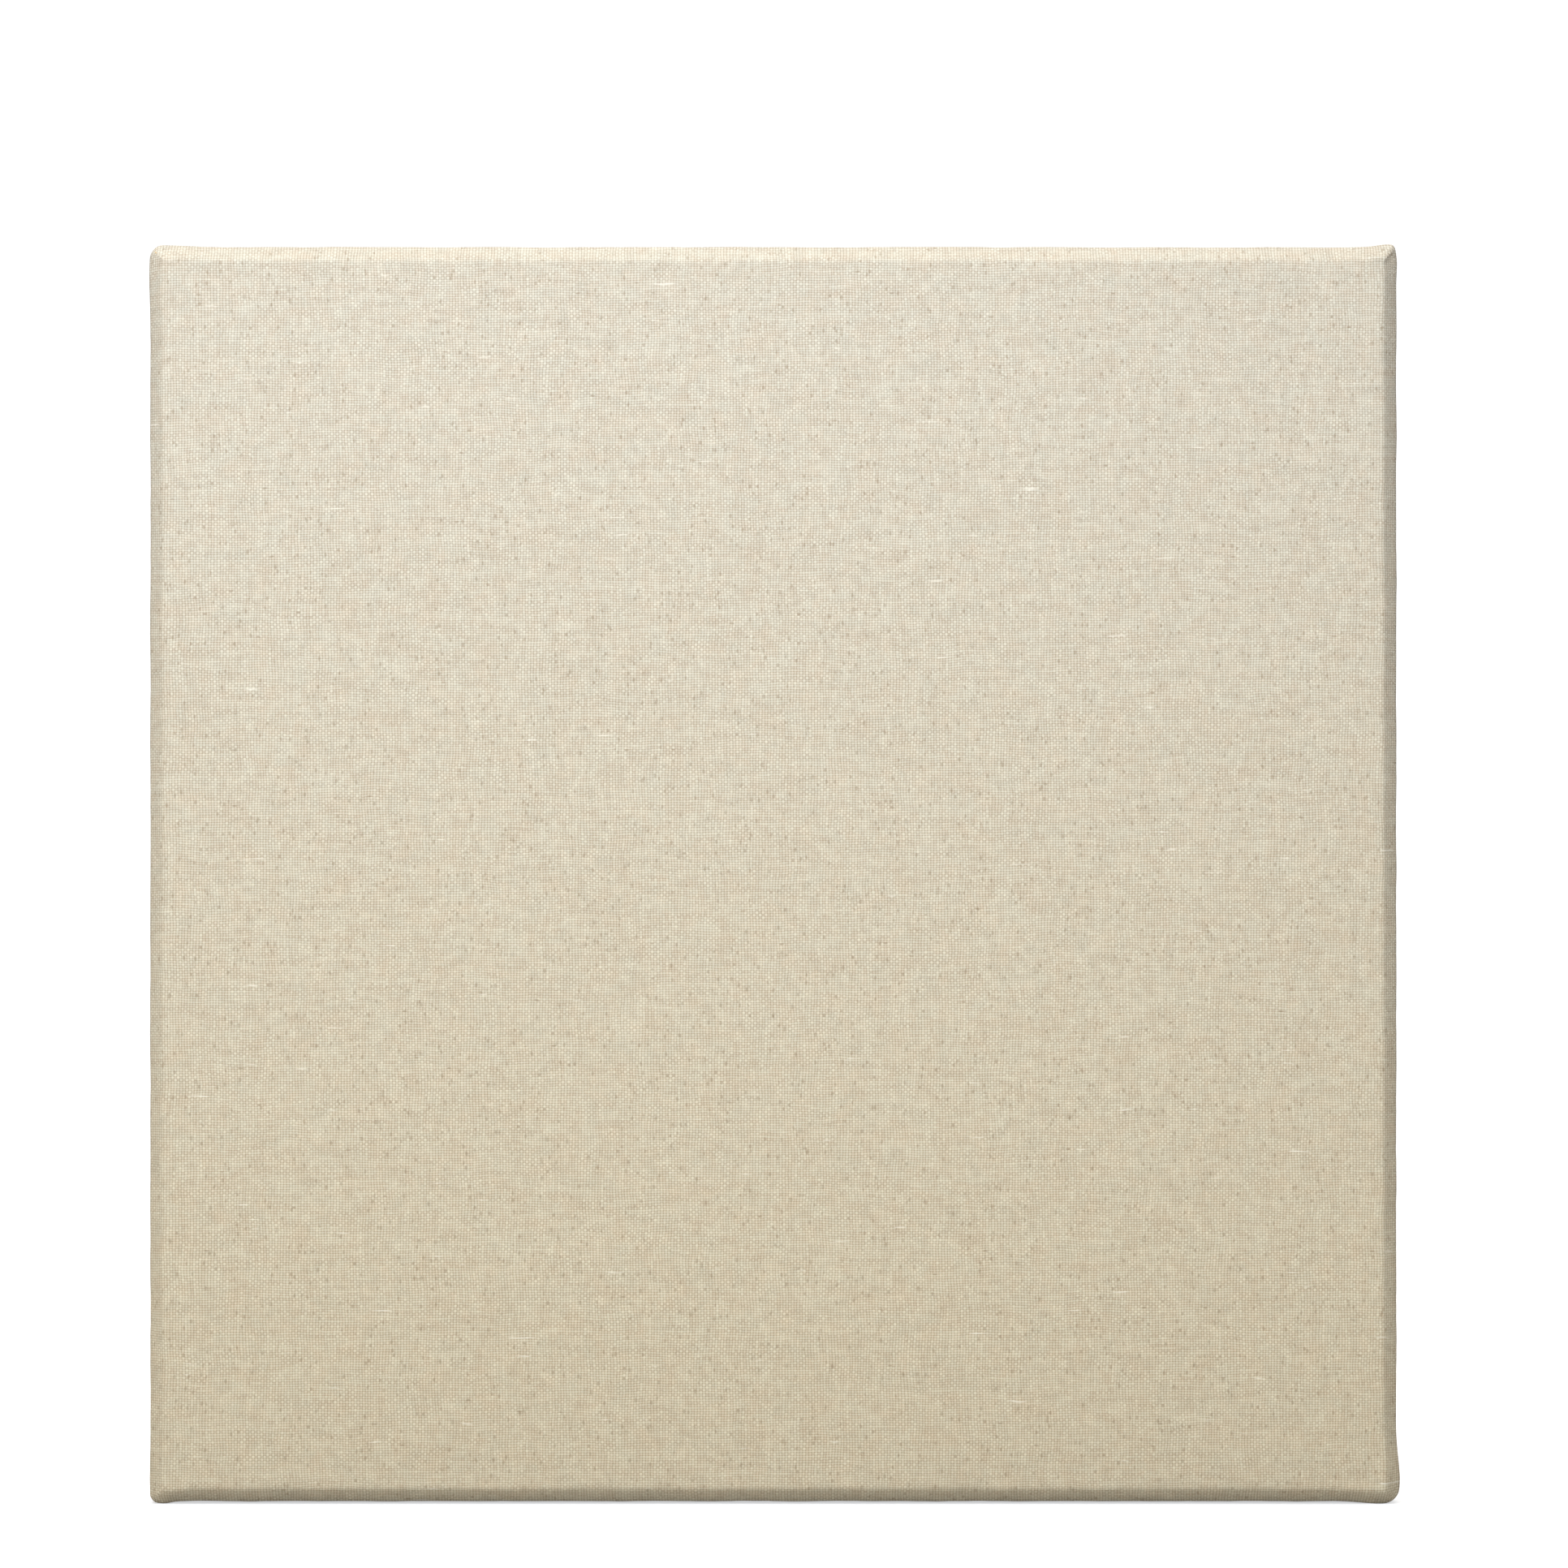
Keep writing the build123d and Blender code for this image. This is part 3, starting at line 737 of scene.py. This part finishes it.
def yarn_material():
    s = Shader("linen_yarn", Roughness=0.8)
    tone = s.noise(s.place(), 900.0, 3.0)
    colour = s.mix(s.between(tone, 0.3, 0.7), linear(188, 170, 138), linear(232, 221, 198))
    return s.drive(Base_Color=colour, Normal=s.bump(s.noise(s.place(), 6000.0), 0.00004))


# ---------------------------------------------------------------- wood and metal


def wood_material(name, grain, early, late, ring_width, pith, knot=None):
    """Sawn wood with its growth rings round a far pith, so that faces and end grain agree.
    grain is the axis that it runs along (0 or 2), pith the rings' middle in the other two, and
    knot an (x, z) on the face."""
    s = Shader(name, Roughness=0.62)
    s.surface.inputs["Specular IOR Level"].default_value = 0.35
    shrink = [1.0, 1.0, 1.0]
    shrink[grain] = 0.06
    shift = [0.0, -pith[0], 0.0]
    shift[2 - grain] = -pith[1]
    shift[grain] = pith[0] * 3
    body = s.place(scale=shrink, shift=shift)
    wander = s.noise(body, 38.0, 3.0)
    if knot:
        x, y, z = s.split(s.node("TexCoord", output=3))
        dx = s.times(s.math("SUBTRACT", x, knot[0]), 0.55 if grain == 0 else 1.0)
        dz = s.times(s.math("SUBTRACT", z, knot[1]), 1.0 if grain == 0 else 0.55)
        away = s.math("SQRT", s.add(s.times(dx, dx), s.times(dz, dz)))
        away = s.add(away, s.times(s.math("SUBTRACT", s.noise(s.place(), 260.0), 0.5), 0.0012))
        swerve = s.between(away, 0.0, 0.014, 1.0, 0.0)
        wander = s.add(wander, s.times(swerve, 2.2))
    push = s.node("CombineXYZ", [s.times(wander, 0.0055)] * 3)
    bent = s.node("VectorMath", [body, push], operation="ADD")
    rings = s.node(
        "TexWave",
        {"Vector": bent, "Scale": tau / 20 / ring_width, "Distortion": 0.0},
        output=1, wave_type="RINGS", rings_direction="X" if grain == 0 else "Z",
        wave_profile="SAW",
    )
    stretch = [2600.0, 2600.0, 2600.0]
    stretch[grain] = 45.0
    fibre = s.noise(s.place(scale=stretch), 1.0, 3.0, 0.65)
    streak = [180.0, 180.0, 180.0]
    streak[grain] = 5.0
    broad = s.noise(s.place(scale=streak, shift=(pith[0] * 90, 0, 3)), 1.0, 2.0)
    colour = s.mix(s.math("POWER", rings, 2.2), early, late)
    light = s.add(s.between(fibre, 0.2, 0.8, 0.88, 1.10), s.between(broad, 0.3, 0.7, -0.06, 0.06))
    colour = s.multiply(colour, light)
    if knot:
        halo = s.between(away, 0.0035, 0.0085, 0.65, 0.0)
        colour = s.mix(halo, colour, linear(176, 118, 66))
        heart = s.between(away, 0.0022, 0.0034, 1.0, 0.0)
        whorl = s.math("SINE", s.times(away, 9000.0))
        dark = s.mix(s.between(whorl, -1.0, 1.0), linear(112, 66, 36), linear(150, 96, 54))
        colour = s.mix(heart, colour, dark)
    height = s.add(s.times(rings, 0.45), fibre)
    rough = s.between(fibre, 0.2, 0.8, 0.72, 0.52)
    return s.drive(Base_Color=colour, Roughness=rough, Normal=s.bump(height, 0.00006, 0.8))


def scratches(s, amount):
    """Fine straight scratches in several directions, from 0 to 1."""
    total = None
    for number, angle in enumerate((12, 57, 101, 148)):
        lines = s.place(turn=(0, radians(angle), 0), shift=(number, 0, number))
        fine = s.node("Mapping", [lines, (0, 0, 0), (0, 0, 0), (120.0, 400.0, 7000.0)])
        line = s.between(s.noise(fine, 1.0, 1.0), 0.66, 0.74, 0.0, amount)
        total = line if total is None else s.math("MAXIMUM", total, line)
    return total


def nickel_material(name, base, worn):
    """Bright nickel plate, scratched, with the brass showing along worn edges."""
    s = Shader(name, Metallic=1.0)
    marks = scratches(s, 1.0)
    smear = s.noise(s.place(), 420.0, 3.0)
    rough = s.add(s.between(smear, 0.3, 0.7, 0.09, 0.2), s.times(marks, 0.22))
    edge = s.node("NewGeometry", output=7)
    brass = s.between(edge, 0.53, 0.62, 0.0, worn)
    colour = s.mix(s.between(smear, 0.3, 0.8), base, [c * 0.86 for c in base[:3]] + [1.0])
    colour = s.mix(brass, colour, linear(214, 178, 112))
    return s.drive(Base_Color=colour, Roughness=rough, Normal=s.bump(marks, 0.00001, 0.5))


def plated_material(name, base, tint, low, high):
    """Zinc-like plate: cloudy, faintly tinted and duller than nickel."""
    s = Shader(name, Metallic=1.0)
    cloud = s.noise(s.place(), 900.0, 4.0, 0.6)
    rough = s.add(s.between(cloud, 0.25, 0.75, low, high), s.times(scratches(s, 0.6), 0.15))
    colour = s.mix(s.between(s.noise(s.place(), 350.0), 0.3, 0.7), base, tint)
    return s.drive(Base_Color=colour, Roughness=rough, Normal=s.bump(cloud, 0.00001, 0.5))


def dress(node, material, bevel=None):
    """Gives a CAD node its material and, where wanted, slightly eased edges."""
    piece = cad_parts[node]
    if not piece.material_slots:
        piece.data.materials.append(material)
    for slot in piece.material_slots:
        slot.material = material
    if bevel:
        ease = piece.modifiers.new("eased_edges", "BEVEL")
        ease.width = bevel
        ease.segments = 2
        ease.limit_method = "ANGLE"
        ease.angle_limit = radians(35)
        ease.harden_normals = True


def dress_frame():
    """Pine bars, each cut from its own board, and hardwood keys."""
    pale, amber = linear(229, 203, 158), linear(203, 162, 104)
    boards = {
        # the grain's axis, where the rings' middle lies beside the bar, and a knot
        "stretcher_bottom": (0, (0.052, 0.030), (-0.052, 0.021)),
        "stretcher_right": (2, (0.047, -0.195), None),
        "stretcher_top": (0, (-0.058, 0.330), None),
        "stretcher_left": (2, (-0.050, 0.180), (-0.131, 0.142)),
    }
    for number, (node, (grain, pith, knot)) in enumerate(boards.items()):
        tone = 1.0 + 0.035 * (number % 3 - 1)
        early = [c * tone for c in pale[:3]] + [1.0]
        width = (2.4, 3.1, 2.0, 2.7)[number] * MM
        material = wood_material("pine_" + node[10:], grain, early, amber, width, pith, knot)
        dress(node, material, 0.35 * MM)
    light, dark = linear(214, 178, 130), linear(186, 142, 92)
    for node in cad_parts:
        if node.startswith("key_"):
            grain = 2 if node.split("_")[1] in ("bottom", "top") else 0
            pith = (0.031 + 0.01 * (len(node) % 3), 0.07)
            material = wood_material("beech_" + node, grain, light, dark, 1.1 * MM, pith)
            dress(node, material, 0.3 * MM)


def dress_metal():
    strap = nickel_material("nickel_strap", [0.66, 0.66, 0.66, 1.0], 0.1)
    wire = nickel_material("nickel_wire", [0.70, 0.70, 0.69, 1.0], 0.0)
    zinc = plated_material("zinc", [0.60, 0.65, 0.72, 1.0], [0.68, 0.67, 0.62, 1.0], 0.2, 0.34)
    steel = plated_material("staple_steel", [0.52, 0.53, 0.54, 1.0], [0.62, 0.61, 0.58, 1.0],
                            0.26, 0.42)
    for hand in ("left", "right"):
        dress("strap_" + hand, strap, 0.08 * MM)
        dress("ring_" + hand, wire)
        dress("screw_" + hand, zinc, 0.06 * MM)
    for side in SIDES:
        dress("staples_" + side, steel)


# ---------------------------------------------------------------- the scene

make_camera()
make_world()
light_studio()
make_floor()
dress_frame()
dress_metal()
linen = make_linen()
fringe = make_fringe()
